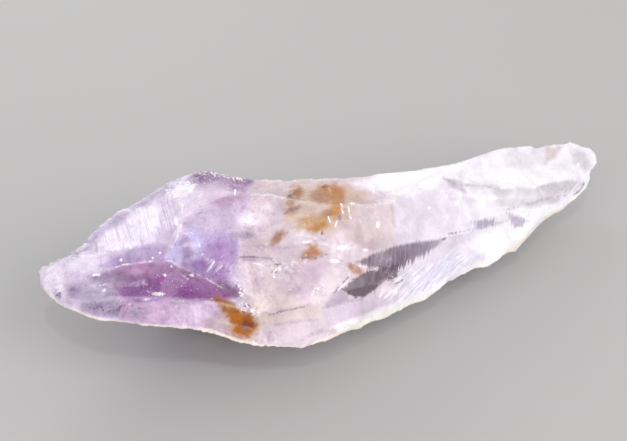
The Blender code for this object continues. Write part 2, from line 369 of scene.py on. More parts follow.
def end_tree(tree, geometry, material):
    """Ends a tree in Realize Instances and Set Material."""
    real = geometry.add("GeometryNodeRealizeInstances", None, {"Geometry": geometry})
    painted = real.add("GeometryNodeSetMaterial", None, {"Geometry": real, "Material": material})
    leave = tree.nodes.new("NodeGroupOutput")
    tree.links.new(painted.socket, leave.inputs[0])


def run_tree(obj, tree, values):
    """Puts the tree on the object with these input values, and makes the result its plain mesh."""
    modifier = obj.modifiers.new(tree.name, "NODES")
    modifier.node_group = tree
    for item in tree.interface.items_tree:
        if item.in_out == "INPUT" and item.name in values:
            modifier[item.identifier] = values[item.name]
    return bake_modifiers(obj)


# %% [markdown]
# ## Colours
#
# Amethyst is quartz coloured by traces of iron, and it grows in zones: here a lilac end, a purple lens
# under the main ridge and a violet heart that stops at a flat growth boundary. The rest is milky, with
# rusty iron stains where water got in. The tints are given as bytes of a picture.


# %% Tints
def tint(red, green, blue):
    """A picture's colour as the linear light that a shader works with."""
    return tuple(((c / 255 + 0.055) / 1.055) ** 2.4 for c in (red, green, blue)) + (1,)


TIP_WHITE = tint(243, 234, 249)
LILAC = tint(216, 200, 225)
PINK_MILK = tint(222, 203, 208)
ROSE_MILK = tint(223, 205, 213)
COOL_MILK = tint(233, 222, 235)
END_WHITE = tint(246, 240, 248)
SILK_WHITE = tint(241, 229, 250)
FACET_LILAC = tint(206, 188, 216)
SHADED_LILAC = tint(186, 162, 202)
RIM_GREY = tint(198, 186, 212)
TIP_GREY = tint(184, 169, 195)
SLATE_LILAC = tint(158, 140, 172)
SLATE = tint(140, 126, 162)
PINK_LILAC = tint(212, 193, 219)
ROSE_SMUDGE = tint(190, 160, 193)
PEAK_MAUVE = tint(150, 120, 158)
PALE_VIOLET = tint(196, 175, 217)
VIOLET = tint(180, 147, 193)
BLUE_LILAC = tint(207, 194, 234)
MAUVE = tint(184, 140, 182)
SMOKY_MAUVE = tint(130, 94, 138)
MAGENTA = tint(156, 92, 160)
DEEP_PURPLE = tint(148, 90, 153)
ORCHID = tint(150, 94, 166)
ROSE_LILAC = tint(191, 155, 193)
ROSE_FOOT = tint(207, 173, 209)
PALE_ROSE = tint(214, 187, 214)
SMEAR_GREY = tint(184, 166, 188)
LILAC_MILK = tint(201, 176, 196)
GREY_MILK = tint(204, 183, 193)
PALE_MILK = tint(228, 211, 231)
GLOW = tint(255, 243, 254)
TAN = tint(210, 184, 166)
TAN_ROSE = tint(186, 134, 100)
PALE_TAN = tint(210, 196, 194)
SHADE_GREY = tint(226, 219, 225)
# This grey is painted shadow under the ledge, and a plain grey tone on other marks.
LEDGE_SHADOW_AND_GREY = tint(206, 197, 204)
COOL_WHITE = tint(226, 221, 238)
# This cream is a painted warm glow along the lower rim.
RIM_GLOW_CREAM = tint(252, 236, 210)
OCHRE = tint(194, 136, 70)
DEEP_OCHRE = tint(156, 96, 16)
PALE_OCHRE = tint(178, 134, 108)
HALO_OCHRE = tint(200, 160, 118)
ORANGE = tint(166, 106, 22)
RUST = tint(182, 106, 0)
DARK_RUST = tint(132, 58, 0)
# The window tints are painted shade: grey that stands in for the dark seen through clear quartz.
WINDOW_DARK_SEEN_THROUGH = tint(118, 94, 116)
WINDOW_LIGHTER_SEEN_THROUGH = tint(164, 144, 168)
STREAK_GREY = tint(206, 194, 216)
WARM_MILK = tint(212, 191, 184)
# Painted shade for the wedges, as for the window.
WEDGE_DARK_SEEN_THROUGH = tint(104, 78, 100)
DARK_SPECK = tint(88, 70, 100)
LINE_BROWN = tint(140, 118, 128)
# This white is the milky quartz's own white, and also the colour of painted glints, sparkles and ridge highlights.
BRIGHT = tint(255, 250, 255)
TIP_GLOW = tint(252, 236, 255)
CURTAIN_TINT = tint(202, 182, 186)
LOW_MILK = tint(218, 200, 212)
CREAM_MILK = tint(230, 211, 206)
BELLY_LILAC = tint(210, 193, 212)
FOOT_STAIN = tint(192, 166, 178)
KNOT_PURPLE = tint(146, 104, 142)
CRUMB_BROWN = tint(92, 60, 44)
ROSE_HUMP = tint(196, 164, 192)
VIOLET_SHADE = tint(164, 122, 184)
MAUVE_SHADE = tint(166, 122, 166)
PEAK_SHADE = tint(134, 102, 142)
SOFT_MILK = tint(236, 220, 230)
TRAIL_TAN = tint(196, 158, 138)
LINE_SHADE = tint(198, 174, 178)
LENS_SHADE = tint(122, 56, 133)

# %% [markdown]
# ## The zones and marks
#
# Each list below gives a zone's outline in the front view, its tint, how strong it is and how soft
# the outline is in pixels. They are painted in this order, so later ones lie on top.

# %% Colour zones that go through the stone
LILAC_ZONES = {
    "tip glow": ([(36, 280), (48, 268), (62, 272), (66, 286), (56, 300), (42, 300)], TIP_GLOW, 0.8, 8),
    "upper rim": ([(86, 240), (118, 214), (150, 194), (184, 174), (190, 179), (156, 201), (94, 246)],
                  RIM_GREY, 0.6, 5),
    "silky facet": ([(84, 256), (104, 234), (130, 215), (154, 201), (172, 193), (181, 198), (176, 222),
                     (166, 246), (120, 252)], SILK_WHITE, 1.0, 7),
    "facet's right edge": ([(162, 202), (178, 198), (181, 214), (176, 238), (166, 250), (154, 248)],
                           FACET_LILAC, 0.8, 6),
    "white toe": ([(70, 258), (92, 255), (116, 258), (104, 268), (88, 273), (68, 269)], SILK_WHITE, 0.9, 6),
    "toe shade": ([(66, 251), (84, 247), (112, 250), (112, 255), (84, 256), (64, 256)], FACET_LILAC, 0.7, 5),
    "shaded band": ([(100, 267), (112, 257), (130, 250), (152, 244), (168, 246), (165, 262), (116, 268)],
                    SHADED_LILAC, 0.95, 6),
    "band shade": ([(146, 249), (168, 247), (165, 262), (146, 262)], VIOLET_SHADE, 0.4, 5),
    "hump": ([(182, 188), (244, 182), (252, 198), (244, 214), (184, 216), (178, 204)], PINK_LILAC, 0.95, 9),
    "lower hump": ([(180, 208), (244, 206), (240, 230), (182, 238), (176, 222)], PINK_LILAC, 0.95, 9),
    "hump's right": ([(200, 184), (240, 184), (247, 196), (230, 208), (206, 204)], ROSE_HUMP, 0.85, 10),
    "rose streak": ([(205, 186), (220, 188), (222, 206), (208, 204)], ROSE_SMUDGE, 0.8, 8),
    "peak": ([(186, 182), (198, 166), (218, 166), (247, 174), (256, 182), (244, 190), (196, 188)],
             PEAK_MAUVE, 0.95, 8),
    "peak shade": ([(186, 181), (198, 167), (214, 167), (217, 180), (192, 185)], PEAK_SHADE, 0.6, 7),
    # Painted highlight: a strip of glints left of the peak.
    "glint strip": ([(164, 198), (174, 187), (190, 182), (197, 185), (190, 192), (176, 198)], BRIGHT, 0.7, 6),
    "violet field": ([(180, 240), (206, 231), (236, 233), (237, 259), (227, 287), (215, 287), (198, 276),
                      (178, 262)], PALE_VIOLET, 0.95, 6),
    "violet left": ([(180, 250), (191, 252), (196, 274), (180, 264)], VIOLET, 0.6, 7),
    "violet heart": ([(206, 246), (236, 240), (236, 262), (226, 285), (216, 285), (202, 274), (202, 258)],
                     VIOLET, 0.9, 8),
    "violet pillar": ([(214, 238), (224, 236), (226, 262), (212, 264)], VIOLET_SHADE, 0.35, 6),
    "violet shadow": ([(192, 261), (214, 257), (226, 268), (222, 281), (208, 277), (194, 271)],
                      VIOLET_SHADE, 0.85, 7),
    "blue corner": ([(178, 236), (184, 258), (178, 264), (163, 262)], BLUE_LILAC, 1.0, 2.5),
    "blue streak": ([(188, 228), (200, 230), (206, 240), (196, 252), (190, 246)], BLUE_LILAC, 0.85, 5),
    "grey dash": ([(229, 233), (253, 232), (253, 239), (230, 240)], SMEAR_GREY, 1.0, 4),
}
PURPLE_ZONES = {
    "tip shade": ([(64, 284), (95, 277), (118, 291), (124, 305), (96, 309), (68, 300)], TIP_GREY, 0.95, 10),
    "slate shade": ([(78, 301), (104, 298), (118, 306), (124, 318), (96, 317), (80, 311)],
                    SLATE_LILAC, 0.7, 9),
    "rose foot": ([(118, 296), (160, 299), (172, 318), (168, 328), (120, 322)], ROSE_LILAC, 0.95, 12),
    "middle foot": ([(150, 300), (186, 301), (192, 330), (160, 328)], ROSE_FOOT, 0.9, 12),
    "pale rose foot": ([(178, 301), (222, 300), (234, 325), (236, 342), (184, 330)], PALE_ROSE, 0.95, 10),
    "stained foot": ([(204, 322), (218, 308), (226, 308), (238, 330), (238, 344), (206, 334)],
                     FOOT_STAIN, 0.8, 7),
    "mauve band": ([(94, 277), (112, 269), (122, 265), (137, 263), (171, 262), (181, 267), (186, 288),
                    (106, 290)], MAUVE, 1.0, 5),
    "mauve slope": ([(160, 262), (181, 267), (240, 292), (230, 297), (170, 290)], MAUVE, 1.0, 4),
    "mauve shade": ([(150, 264), (176, 266), (192, 280), (160, 284)], MAUVE_SHADE, 0.85, 7),
    "grey mauve": ([(92, 279), (106, 272), (122, 270), (122, 286), (104, 290)], SLATE_LILAC, 0.8, 8),
    "smoky mauve": ([(110, 276), (122, 272), (142, 276), (142, 286), (118, 288)], SMOKY_MAUVE, 0.7, 9),
    "lens shade": ([(112, 277), (130, 276), (150, 280), (148, 290), (118, 291)], PEAK_SHADE, 0.75, 7),
    "purple lens": ([(118, 286), (134, 279), (162, 274), (202, 282), (236, 291), (226, 299), (165, 300),
                     (140, 299), (122, 295)], MAGENTA, 1.0, 10),
    "lens core": ([(156, 288), (170, 281), (215, 284), (237, 292), (228, 300), (200, 301), (162, 298)],
                  DEEP_PURPLE, 0.9, 10),
    "lens left": ([(120, 282), (131, 277), (149, 277), (151, 285), (140, 290), (122, 290)],
                  LENS_SHADE, 0.9, 6),
    "lens flame": ([(120, 290), (140, 291), (160, 296), (164, 301), (142, 303), (122, 298)],
                   ORCHID, 0.95, 6),
}
MILK_ZONES = {
    "grey milk": ([(242, 241), (300, 246), (330, 254), (318, 263), (282, 262), (244, 257)],
                  GREY_MILK, 0.8, 9),
    "lilac milk": ([(284, 264), (330, 262), (322, 276), (306, 300), (288, 290)], LILAC_MILK, 0.85, 10),
    "milky field": ([(246, 266), (268, 266), (282, 296), (276, 306), (246, 298)], PINK_MILK, 0.8, 10),
    "middle milk": ([(272, 274), (296, 268), (308, 300), (286, 306)], GREY_MILK, 0.7, 12),
    "warm milk": ([(258, 300), (276, 296), (300, 300), (320, 312), (300, 326), (262, 326)],
                  WARM_MILK, 0.6, 10),
    "cream milk": ([(250, 300), (264, 298), (272, 314), (268, 330), (258, 330)], CREAM_MILK, 0.8, 7),
    "lower milk": ([(262, 328), (338, 318), (334, 336), (304, 346), (264, 344)], LOW_MILK, 0.9, 8),
    "belly": ([(322, 312), (350, 300), (384, 294), (390, 302), (356, 322), (328, 326)],
              BELLY_LILAC, 0.85, 8),
    "bright band": ([(286, 233), (310, 232), (308, 242), (300, 246), (284, 244)], PALE_MILK, 0.4, 6),
    "soft milk": ([(254, 204), (280, 204), (284, 226), (274, 238), (256, 238)], SOFT_MILK, 0.8, 8),
    "line shade": ([(262, 314), (285, 306), (310, 302), (312, 308), (288, 316), (268, 320)],
                   LINE_SHADE, 0.7, 5),
    "crack wedge": ([(241, 258), (256, 256), (270, 257), (272, 261), (258, 263), (243, 262)],
                    SMEAR_GREY, 0.7, 3),
    "fuzzy streak": ([(338, 286), (347, 293), (350, 300), (328, 309), (325, 306)], SMEAR_GREY, 0.8, 5),
    "curtain": ([(340, 205), (395, 203), (396, 248), (374, 252), (346, 240)], CURTAIN_TINT, 0.8, 5),
}
WHITE_ZONES = {
    "white shoulder": ([(352, 184), (384, 174), (430, 165), (462, 160), (470, 166), (452, 178), (412, 195),
                        (398, 197), (370, 191)], BRIGHT, 0.9, 7),
    "white slope": ([(462, 168), (480, 166), (510, 170), (514, 187), (466, 182)], BRIGHT, 0.8, 6),
    "white step": ([(500, 172), (545, 166), (575, 175), (562, 180), (543, 185), (500, 188)], BRIGHT, 0.9, 3),
    "upper haze": ([(500, 152), (540, 148), (548, 160), (520, 170), (502, 164)], SHADE_GREY, 0.7, 9),
    "tan top": ([(544, 146), (563, 146), (556, 158), (546, 164)], PALE_TAN, 0.95, 6),
    "end shade": ([(572, 152), (586, 151), (593, 164), (584, 171), (574, 162)], LEDGE_SHADOW_AND_GREY, 0.6, 8),
    "grey notch": ([(443, 178), (460, 180), (467, 193), (452, 189)], LEDGE_SHADOW_AND_GREY, 1.0, 3),
    # The four ledge zones below are painted shadow under the ledge.
    "ledge shade": ([(490, 189), (532, 188), (532, 204), (500, 207)], SHADE_GREY, 0.9, 3),
    "shadow on the ledge slope": ([(522, 189), (545, 185), (564, 180), (584, 182), (574, 193), (545, 200), (524, 206)],
                    SHADE_GREY, 0.95, 2),
    "shadow at the ledge start": ([(493, 189), (512, 189), (508, 198), (496, 198)], LEDGE_SHADOW_AND_GREY, 0.6, 4),
    "ledge dusk": ([(539, 187), (563, 180), (572, 182), (566, 193), (546, 196)], LEDGE_SHADOW_AND_GREY, 0.8, 3),
    "feathery patch": ([(524, 206), (544, 198), (562, 196), (560, 201), (545, 207), (528, 210)],
                       LEDGE_SHADOW_AND_GREY, 0.9, 4),
    "bright end": ([(502, 212), (556, 203), (548, 214), (534, 231), (508, 246), (470, 262), (478, 236)],
                   BRIGHT, 0.9, 9),
    "cool belly": ([(425, 268), (468, 248), (484, 256), (455, 273), (428, 288), (400, 300)],
                   COOL_WHITE, 0.9, 8),
    "bright foot": ([(334, 327), (446, 279), (450, 290), (400, 318), (344, 340)], BRIGHT, 0.8, 6),
}
SKIN_ZONES = {
    "tan wash": ([(284, 200), (294, 184), (346, 183), (360, 196), (350, 220), (326, 234), (298, 234),
                  (286, 220)], TAN, 0.75, 10),
    # This band is partly iron stain and partly painted shadow under the top band.
    "tan stain and shadow band": ([(304, 190), (330, 183), (352, 187), (368, 195), (364, 203), (330, 204), (304, 203)],
                 TAN, 0.7, 4),
    "stain veil": ([(222, 320), (236, 312), (262, 318), (262, 330), (248, 342), (230, 338)], TAN, 0.8, 8),
    "crown": ([(310, 200), (318, 188), (336, 184), (345, 192), (344, 203), (322, 205)], TAN_ROSE, 1.1, 8),
    "heart": ([(326, 216), (333, 203), (341, 203), (341, 213), (336, 219)], OCHRE, 1.1, 6),
    "ochre corner": ([(301, 258), (307, 246), (315, 243), (322, 253), (312, 259)], TAN_ROSE, 1.1, 7),
    "rust head": ([(214, 298), (219, 297), (236, 306), (244, 316), (234, 324), (224, 312)], ORANGE, 1.2, 8),
    "rust body": ([(229, 318), (240, 309), (252, 314), (259, 325), (249, 337), (235, 334)], RUST, 1.3, 8),
}
SKIN_BLOBS = {
    "ochre spot": ((297, 194), (6.5, 5.5), 0, DEEP_OCHRE), "spot crumb": ((289, 197), (2, 1.6), 0, CRUMB_BROWN),
    "ochre trail": ((291, 203), (4, 5), 15, TRAIL_TAN), "brown trail": ((292, 211), (7, 4), -10, TRAIL_TAN),
    "crown spot": ((325, 188), (4.5, 3), 0, DEEP_OCHRE), "crown heart": ((333, 195), (7, 6), 20, OCHRE),
    "crown edge": ((318, 197), (6, 4), 0, PALE_OCHRE), "heart veil": ((326, 214), (7, 5), -30, PALE_OCHRE),
    "ochre halo": ((314, 224), (14, 8), 0, HALO_OCHRE), "ochre foot": ((318, 227), (7.5, 3.6), 0, OCHRE),
    "foot crumb": ((323, 234), (1.4, 2), 0, CRUMB_BROWN), "heart crumb": ((340, 217), (1.2, 2.6), 0, LINE_BROWN),
    "brown dash": ((278, 238), (10, 4), -34, PALE_OCHRE), "pale corner": ((355, 269), (8, 4), 38, PALE_OCHRE),
    "rust core": ((247, 324), (8, 6), 20, DARK_RUST), "dark knot": ((230, 289), (12, 6), 28, KNOT_PURPLE),
}
DEEP_BLOBS = {
    "milk glow": ((251, 219), (12, 7), 0, GLOW),
    "tip smudge": ((58, 296), (3.4, 3.0), 0, SLATE), "cheek smudge": ((73, 290), (4, 2), 0, SLATE_LILAC),
    "foot smudge": ((95, 305), (10, 3.4), 0, SLATE_LILAC), "second smudge": ((116, 312), (4, 4), 0, SLATE),
    "third smudge": ((136, 314), (7, 4), 0, SLATE_LILAC),
}
print(len(LILAC_ZONES) + len(PURPLE_ZONES) + len(MILK_ZONES) + len(WHITE_ZONES), "zones,",
      len(SKIN_BLOBS), "stains")

# %% Lines and edges drawn in the front view
# The ridge line is a painted highlight along the main ridge. The pale lines are partly painted highlights along
# ridges and edges, partly white cracks.
RIDGE_HIGHLIGHT_LINE = [(93, 276), (112, 269), (122, 265), (137, 263), (154, 261), (171, 261), (181, 267),
                   (192, 272), (207, 279), (222, 288)]
PALE_CRACKS_AND_HIGHLIGHTS = [
    [(177, 206), (177, 226)], [(183, 205), (182, 214)], [(180, 228), (177, 238), (172, 248)],
    [(171, 266), (180, 274), (188, 279)], [(147, 291), (155, 293), (162, 296)], [(154, 293), (163, 295)],
    [(240, 261), (258, 264), (273, 267)], [(338, 290), (351, 277)],
    [(359, 266), (378, 268), (386, 272), (393, 277)], [(196, 299), (216, 299)], [(140, 300), (150, 299)],
    [(196, 238), (200, 247)], [(262, 192), (275, 196)], [(214, 262), (206, 274)], [(226, 262), (216, 272)],
    [(345, 203), (352, 204)], [(380, 203), (397, 198)],
]
# Along the rim line a painted warm glow is drawn.
RIM_GLOW_LINE = [(50, 296), (60, 305), (92, 318), (130, 325), (170, 327), (210, 331), (238, 341), (257, 346),
            (304, 348), (328, 338), (355, 327), (387, 313), (406, 306), (450, 284), (476, 266), (495, 264),
            (509, 250), (524, 240), (540, 225), (548, 217), (556, 213), (566, 207), (580, 196), (588, 187)]
DARK_LINES = [
    [(240, 258), (256, 257), (271, 259)],
    [(262, 264), (271, 267)], [(269, 315), (283, 311), (308, 306)], [(302, 258), (313, 257)],
    [(314, 259), (328, 254)], [(584, 183), (580, 190), (573, 196)], [(395, 284), (403, 280)],
    [(285, 214), (300, 208)], [(288, 210), (302, 205)], [(334, 293), (348, 277)], [(448, 234), (460, 232)],
    [(442, 240), (446, 238)],
]
FAINT_LINES = [
    [(70, 253), (90, 254), (116, 252)], [(255, 246), (285, 248), (303, 246), (326, 239)],
    [(275, 325), (300, 321), (318, 320)], [(462, 185), (498, 188)], [(505, 210), (527, 204), (549, 198), (566, 195)],
    [(444, 239), (475, 229), (506, 221)], [(140, 302), (165, 303), (200, 303)], [(278, 262), (290, 276), (300, 290)],
    [(444, 178), (465, 191)],
    [(120, 266), (108, 272), (98, 280)], [(184, 262), (190, 240)], [(334, 258), (342, 261)],
    [(322, 308), (345, 302), (362, 300)], [(268, 344), (270, 332)], [(300, 340), (312, 334)],
]
# The window, the wedges and the teeth below outline painted shade: grey that stands in for the dark seen through
# clear quartz.
WINDOW_TOP = [(356, 262), (374, 254), (392, 247), (412, 243), (440, 239)]
WINDOW = [(356, 262), (374, 253), (392, 246), (442, 239), (437, 246), (424, 254), (400, 267), (386, 271), (372, 268)]
WEDGES = [
    [(342, 290), (352, 280), (368, 271), (384, 270), (386, 277), (372, 291), (364, 297), (354, 297)],
    [(378, 268), (398, 264), (397, 276), (392, 280), (384, 279)],
]
SEEN_THROUGH_TEETH = [[(472, 222), (494, 219), (493, 225), (476, 227)], [(508, 214), (528, 220), (523, 226), (514, 228)]]
SPARKLES = [
    [(163, 191), (180, 183), (197, 181), (194, 191), (168, 201)], [(192, 172), (214, 171), (246, 178), (244, 183), (212, 177)],
    [(236, 284), (244, 288), (247, 296), (238, 298)], [(271, 260), (282, 260), (282, 275), (272, 275)],
    [(238, 303), (256, 303), (258, 314), (242, 313)], [(337, 245), (350, 245), (350, 251), (337, 251)],
    [(328, 258), (342, 258), (342, 264), (328, 264)], [(313, 285), (326, 285), (326, 295), (313, 295)],
    [(66, 250), (84, 247), (80, 262), (66, 266)], [(244, 337), (258, 338), (252, 347), (242, 345)],
]
SPECKLED = [
    [(214, 280), (240, 283), (240, 298), (222, 298)], [(54, 291), (64, 291), (64, 300), (54, 300)],
    [(84, 300), (142, 306), (142, 318), (88, 310)],
    [(238, 304), (256, 303), (257, 317), (242, 316)],
    [(272, 262), (280, 262), (280, 274), (272, 274)], [(186, 270), (208, 276), (206, 284), (186, 280)],
]
HACKLES = [(372, 300), (398, 274), (448, 252), (480, 256), (446, 284), (400, 306)]
GLINTS = [
    ((104, 291), (2.2, 2.2)), ((59, 287), (4.5, 1.8)), ((121, 260), (1.7, 1.7)), ((131, 248), (1.7, 1.7)),
    ((96, 275), (4.5, 1.4)), ((377, 225), (2.0, 3.2)), ((457, 203), (3.0, 2.6)), ((446, 197), (2.0, 1.8)),
    ((429, 208), (1.8, 1.6)), ((342, 248), (6, 2.4)), ((334, 261), (5, 2.0)), ((158, 294), (6.5, 1.8)),
    ((239, 179), (3.2, 1.6)), ((229, 176), (2.0, 1.6)), ((578, 165), (1.4, 3.0)), ((192, 275), (2.2, 1.6)),
    ((165, 275), (1.8, 1.6)), ((352, 204), (3.2, 1.3)), ((365, 250), (2.6, 1.6)),
    ((160, 253), (1.4, 1.4)), ((153, 258), (1.4, 1.4)), ((176, 221), (1.2, 4.0)), ((181, 227), (1.0, 2.6)),
]
# Short bright dashes are painted glints too.
GLINT_DASHES = [
    [(341, 204), (343, 213)], [(348, 207), (351, 219)], [(328, 217), (330, 224)], [(337, 221), (335, 227)],
    [(235, 190), (235, 195)], [(373, 191), (373, 194)],
]
STROKES = [
    [(384, 180), (420, 172), (424, 184), (394, 196)], [(446, 190), (470, 194), (468, 212), (446, 208)],
    [(206, 256), (236, 254), (232, 280), (210, 278)],
]
EVEN_EDGES = [[(380, 160), (500, 132), (505, 162), (385, 184)], [(498, 132), (566, 128), (566, 160), (498, 162)]]
CALM_ZONES = [
    [(186, 190), (204, 182), (248, 184), (268, 200), (262, 228), (240, 238), (196, 238), (184, 224)],
    [(402, 194), (440, 184), (448, 234), (425, 240), (402, 240)],
    [(466, 172), (500, 160), (545, 156), (575, 160), (562, 174), (500, 183), (466, 182)],
    [(400, 270), (450, 244), (500, 232), (520, 232), (470, 258), (404, 290)],
    [(250, 240), (330, 262), (330, 300), (262, 306)],
    [(262, 314), (386, 289), (392, 298), (342, 322), (300, 336), (262, 336)],
    [(478, 228), (560, 194), (568, 200), (552, 216), (524, 236), (484, 244)],
    [(96, 250), (112, 235), (135, 220), (158, 206), (172, 202), (172, 222), (162, 242), (120, 248)],
]
SMOOTH_FACETS = CALM_ZONES + [
    [(112, 273), (137, 266), (171, 266), (200, 280), (232, 292), (222, 298), (150, 299), (112, 290)],
    [(84, 256), (104, 236), (130, 217), (154, 203), (176, 198), (176, 222), (166, 244), (120, 250)],
]
print(len(DARK_LINES + FAINT_LINES + PALE_CRACKS_AND_HIGHLIGHTS), "lines and", len(WEDGES + SEEN_THROUGH_TEETH), "grey wedges")

# %% [markdown]
# ## What each point has to know
#
# The first tree stores three things on the points: the place, in millimetres, the place in the front
# view, and how much of an edge it is. Convex edges are found by comparing each point with the average
# of its neighbours.

# %% Storing the places and the edges
EDGE_BLUR = 10
CALM_BLUR = 120
EVEN_SHARE = 0.2
EDGE_RISE = (0.02, 0.09)
NUDGES = {
    "upper tail": ([(392, 174), (436, 168), (484, 156), (508, 150), (556, 147)], -5.5, 26),
    "upper end": ([(512, 148), (548, 146)], -1, 18),
    "right tip": ([(592, 151), (597, 157)], -3, 12),
    "belly edge": ([(388, 313), (404, 307), (424, 297)], 7, 26),
    "tail foot": ([(522, 238), (540, 222), (562, 206)], 9, 26),
    "lower foot": ([(318, 343), (344, 333)], -4, 18),
    "upper left": ([(94, 233), (118, 214)], -4, 14),
    "shoulder": ([(196, 173), (212, 173)], -2, 10),
    "peak's right": ([(238, 178), (246, 180)], -3, 10),
}


def store(geometry, name, kind, value):
    settings = {"data_type": kind, "domain": "POINT"}
    sockets = {"Geometry": geometry, "Name": name, "Value": value}
    return geometry.add("GeometryNodeStoreNamedAttribute", settings, sockets)


def read(geometry, *names):
    """Vectors that were stored on the points."""
    settings = {"data_type": "FLOAT_VECTOR"}
    return [geometry.add("GeometryNodeInputNamedAttribute", settings, {"Name": name}) for name in names]


def edges(place, normal):
    """1 on convex edges and 0 on flat and hollow places."""
    settings = {"data_type": "FLOAT_VECTOR"}
    around = place.add("GeometryNodeBlurAttribute", settings, {"Value": place, "Iterations": EDGE_BLUR})
    rise = place.vector("SUBTRACT", around).vector("DOT_PRODUCT", normal, output=1)
    return rise.fade(*EDGE_RISE)


def nudged(front):
    """How far each point moves down in the front view, in pixels, so that the outline fits again."""
    sheet = front.vector("MULTIPLY", (1, 1, 0))
    shifts = [path_distance(sheet, line).fade(reach, 0) * shift for line, shift, reach in NUDGES.values()]
    return sum(shifts[1:], shifts[0])


def calm_tree(material):
    """Smooths the skin where the real facets are even, and leaves the rest as it is."""
    tree, inputs = geometry_tree("calm", {})
    bare = inputs["Geometry"]
    position = bare.add("GeometryNodeInputPosition")
    front = front_view(bare, position.vector("MULTIPLY", (1 / MM, 1 / MM, 1 / MM)))
    board = flat(front)
    calm = largest(*(pane(board, corners, 14) for corners in CALM_ZONES)) * split(front)[2].fade(30, 16)
    even = largest(*(pane(board, corners, 8) for corners in EVEN_EDGES))
    calm = largest(calm, even * EVEN_SHARE)
    settings = {"data_type": "FLOAT_VECTOR"}
    sockets = {"Value": position, "Iterations": CALM_BLUR, "Weight": calm}
    even = position.add("GeometryNodeBlurAttribute", settings, sockets)
    down = camera.rotation_euler.to_matrix() @ Vector((0, -1, 0))
    shift = nudged(front) * (MM / PIXELS_PER_MM)
    push = shift.add("ShaderNodeVectorMath", {"operation": "SCALE"}, {0: down, 3: shift})
    sockets = {"Geometry": bare, "Position": even, "Offset": push}
    end_tree(tree, bare.add("GeometryNodeSetPosition", None, sockets), material)
    return tree


def places_tree(material):
    tree, inputs = geometry_tree("places", {})
    bare = inputs["Geometry"]
    place = bare.add("GeometryNodeInputPosition").vector("MULTIPLY", (1 / MM, 1 / MM, 1 / MM))
    drawn = store(bare, "stone_place", "FLOAT_VECTOR", place)
    front = front_view(bare, place)
    smooth = largest(*(pane(flat(front), corners, 12) for corners in SMOOTH_FACETS)) * split(front)[2].fade(30, 16)
    drawn = store(drawn, "stone_front", "FLOAT_VECTOR", front)
    drawn = store(drawn, "stone_smooth", "FLOAT", smooth)
    drawn = store(drawn, "stone_edge", "FLOAT", edges(place, place.add("GeometryNodeInputNormal")))
    end_tree(tree, drawn, material)
    return tree


stone_material = bpy.data.materials.new("amethyst_stone")
run_tree(stone, calm_tree(stone_material), {})
run_tree(stone, places_tree(stone_material), {})
print("points:", len(stone.data.vertices))

# %% Painting the points
COLOUR_AXIS = (0.92, -0.39, 0.0)
THROUGH = 400
SKIN_DEPTH = 14
STAIN_SHADE = (0.74, 0.62, 0.40)
STAIN_LIGHT = (1.16, 1.18, 1.05)
HIDDEN = (16, 50)
WANDER = 45


def along_stone(place, colour_axis):
    """The colour along the stone: lilac, then milk with a blush of rose, then white."""
    ragged = shaken(place, place, 1.4, 5.0)
    along = ragged.vector("DOT_PRODUCT", colour_axis, output=1)
    colour = along.fade(-25.0, -21.0).mix(TIP_WHITE, LILAC)
    colour = along.fade(-10.4, -7.4).mix(colour, PINK_MILK)
    colour = along.fade(-6.0, -1.0).mix(colour, ROSE_MILK)
    colour = along.fade(1.5, 4.5).mix(colour, COOL_MILK)
    return along.fade(7.0, 13.0).mix(colour, END_WHITE)


def paint_zones(board, cloud, colour, zones):
    for corners, zone_tint, strength, soft in zones.values():
        colour = (pane(board, corners, soft) * cloud * strength).mix(colour, zone_tint)
    return colour


def paint_blobs(spot, cloud, colour, blobs, depth):
    for (x, y), (width, height), turn, blob_tint in blobs.values():
        mask = blob(spot, (x, y, 0), (width, height, depth), turn, 0.6)
        colour = (mask * cloud).mix(colour, blob_tint)
    return colour


def first_coat(place, front, colour):
    """The colour along the stone."""
    return along_stone(place, COLOUR_AXIS)


def lilac_coat(place, front, colour):
    """The lilac and violet zones."""
    return zones_coat(place, front, colour, LILAC_ZONES)


def purple_coat(place, front, colour):
    """The purple lens and the zones round it."""
    return zones_coat(place, front, colour, PURPLE_ZONES)


def milk_coat(place, front, colour):
    """The milky zones in the middle."""
    return zones_coat(place, front, colour, MILK_ZONES)


def white_coat(place, front, colour):
    """The white zones of the thin end."""
    return zones_coat(place, front, colour, WHITE_ZONES)


def zones_coat(place, front, colour, zones):
    """Zones with clear outlines in front. Behind, out of the photograph's sight, they wander."""
    cloud = noise(place, 1.1, 3.0).fade(0.30, 0.50, 0.85, 1.0)
    behind = split(front)[2].fade(*HIDDEN)
    astray = behind.mix(shaken(front, place, 3.0, 1.2), shaken(front, place, WANDER, 5.0))
    return paint_zones(flat(astray), cloud, colour, zones)


def veil_coat(place, front, colour):
    """Spots deep in the stone, and straight-edged veils all over it."""
    cloud = noise(place, 0.5, 3.0).fade(0.34, 0.54, 0.45, 1.0)
    colour = paint_blobs(shaken(front, place, 3.0, 1.2), cloud, colour, DEEP_BLOBS, THROUGH)
    colour = (patches(place, 20, (4.5, 1.6, 1.6)).fade(0.62, 0.70) * 0.08).mix(colour, BRIGHT)
    colour = (patches(place, 75, (3.2, 1.1, 1.1)).fade(0.70, 0.76) * 0.08).mix(colour, SMEAR_GREY)
    crumbs = noise(shaken(place, place, 0.4, 0.8), 2.2, 5.0, 0.65).fade(0.60, 0.70)
    return (crumbs * split(front)[2].fade(*HIDDEN) * 0.6).mix(colour, PALE_OCHRE)


